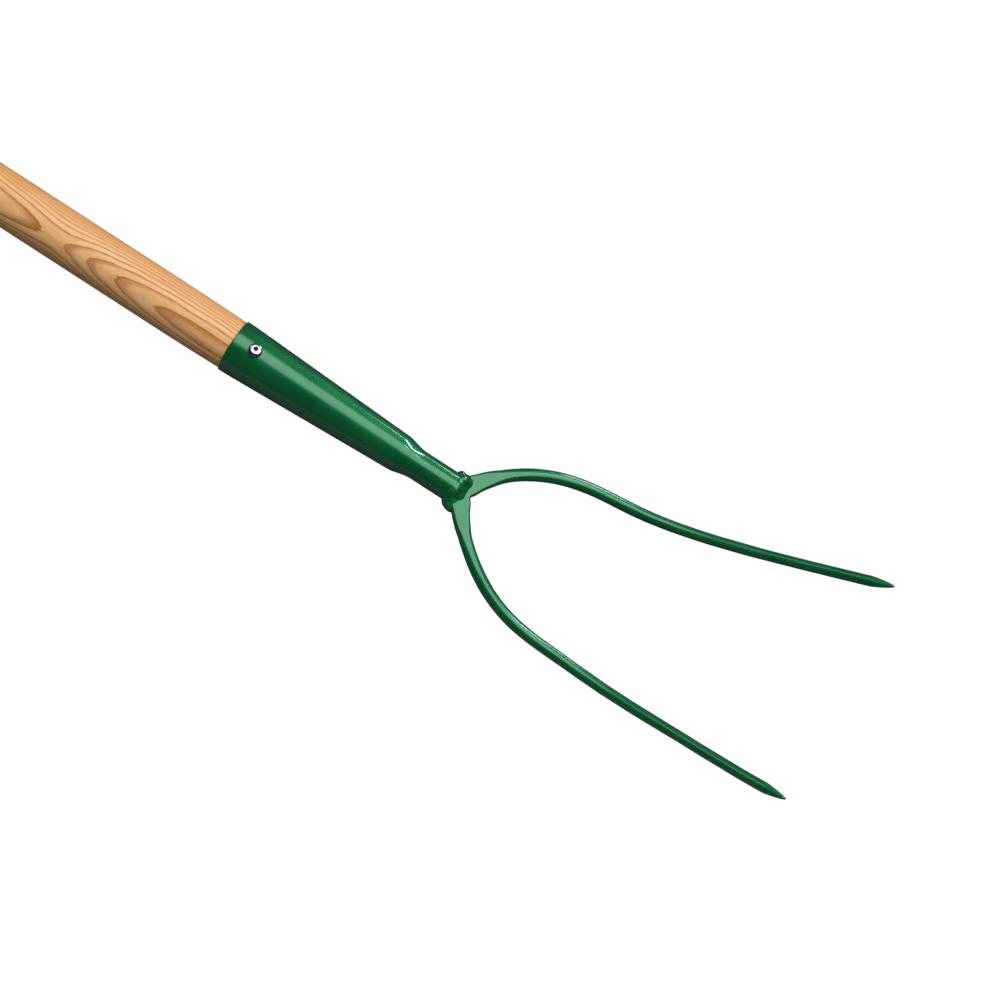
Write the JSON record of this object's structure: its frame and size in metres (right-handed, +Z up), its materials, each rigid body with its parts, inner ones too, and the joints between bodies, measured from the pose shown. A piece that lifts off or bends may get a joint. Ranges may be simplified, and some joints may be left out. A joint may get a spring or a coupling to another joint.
{
  "type": "two-tine long-handled fork",
  "caption": "Long-handled hand fork for lawn and garden: round wooden shaft in a tapered steel socket, with a forged V of round curved tines.",
  "frame": {"origin": "centre of the bounding box in X and Y, on the plane that the tool lies on", "axes": "+X along the shaft towards the tines, +Y across the tines, +Z up, the way the tips curve"},
  "size_m": [1.6764, 0.166, 0.0994],
  "materials": {
    "ash_wood": "satin lacquered ash",
    "green_enamel": "glossy dark green enamel",
    "bright_steel": "bright plated steel"
  },
  "bodies": {
    "root": {"handle": "ash_wood", "socket": "green_enamel", "tine_fork": "green_enamel", "neck_weld_front": "green_enamel", "neck_weld_back": "green_enamel", "handle_screw": "bright_steel"}
  },
  "joints": []
}
